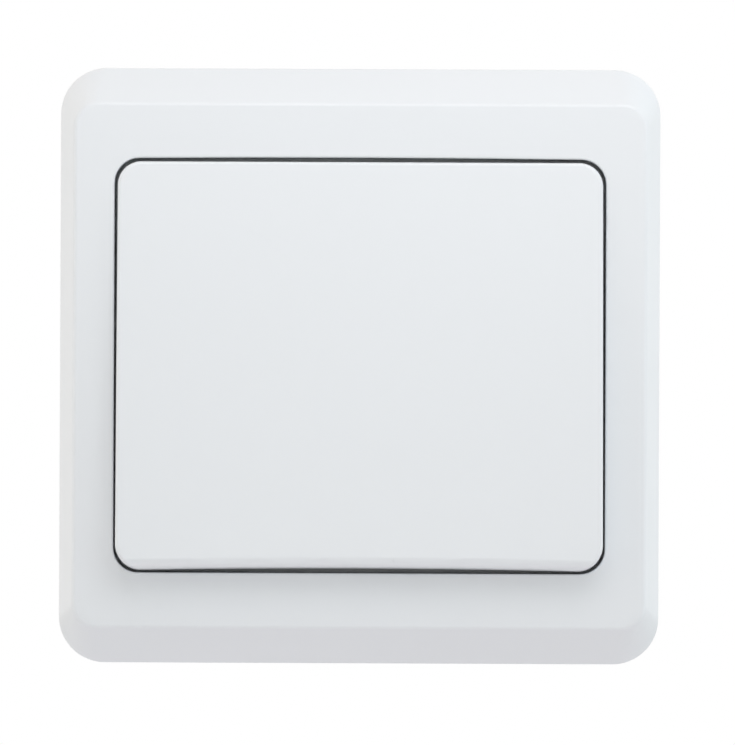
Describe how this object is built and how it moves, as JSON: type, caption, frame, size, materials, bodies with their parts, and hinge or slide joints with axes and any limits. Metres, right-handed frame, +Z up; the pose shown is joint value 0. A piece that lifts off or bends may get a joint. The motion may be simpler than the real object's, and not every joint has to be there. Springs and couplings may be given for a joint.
{
  "type": "light switch",
  "caption": "Flush one-gang wall light switch: square cover frame, large rocker key, two-way see-saw contact mechanism on a steel support plate for a 60 mm box.",
  "frame": {"origin": "centre of the support plate's rear face, in the wall's plane, midway between the box screws", "axes": "+Z up the wall, +X to the right seen from the room, +Y into the wall; the rocker key faces -Y"},
  "size_m": [0.082, 0.0415, 0.0812],
  "materials": {
    "white_gloss": "gloss, very fine orange peel",
    "white_matte": "moulded, satin",
    "grey_body": "moulded, matt",
    "cover_grey": "moulded, matt",
    "zinc_steel": "zinc plated sheet",
    "screw_steel": "zinc plated",
    "brass": "rolled brass",
    "lever_copper": "copper alloy strip",
    "contact_silver": "silver alloy",
    "spring_steel": "drawn wire",
    "plunger_nylon": "nylon"
  },
  "bodies": {
    "base": {"frame": "white_gloss", "mechanism_housing": "grey_body", "mechanism_cover": "cover_grey", "support_plate": "zinc_steel", "housing_rivets": "zinc_steel", "frame_screws": "screw_steel", "common_terminal": "brass", "upper_terminal": "brass", "lower_terminal": "brass", "common_terminal_screw": "screw_steel", "upper_terminal_screw": "screw_steel", "lower_terminal_screw": "screw_steel", "contact_pivot_pin": "screw_steel", "upper_contact_tip": "contact_silver", "lower_contact_tip": "contact_silver"},
    "rocker": {"rocker_key": "white_gloss", "tumbler": "white_matte", "plunger_spring": "spring_steel"},
    "plunger": {"plunger": "plunger_nylon"},
    "contact": {"moving_contact": "lever_copper", "moving_contact_tips": "contact_silver"}
  },
  "joints": [
    {"name": "rocker_tilt", "type": "hinge", "parent": "base", "child": "rocker", "pos_m": [0, -0.0094, 0], "axis": [1, 0, 0], "range_deg": [0, 9]},
    {"name": "contact_swing", "type": "hinge", "parent": "base", "child": "contact", "pos_m": [0, 0.012, 0], "axis": [1, 0, 0], "range_deg": [-17, 0]},
    {"name": "plunger_slide", "type": "slide", "parent": "rocker", "child": "plunger", "axis": [0, -0.9969, 0.0785], "range_m": [0, 0.001], "stiffness_N_per_m": 600, "springref_m": -0.004, "deforming": ["plunger_spring"]}
  ],
  "couplings": [
    {"joint": "contact_swing", "follows": "rocker_tilt", "ratio": -1.888}
  ]
}
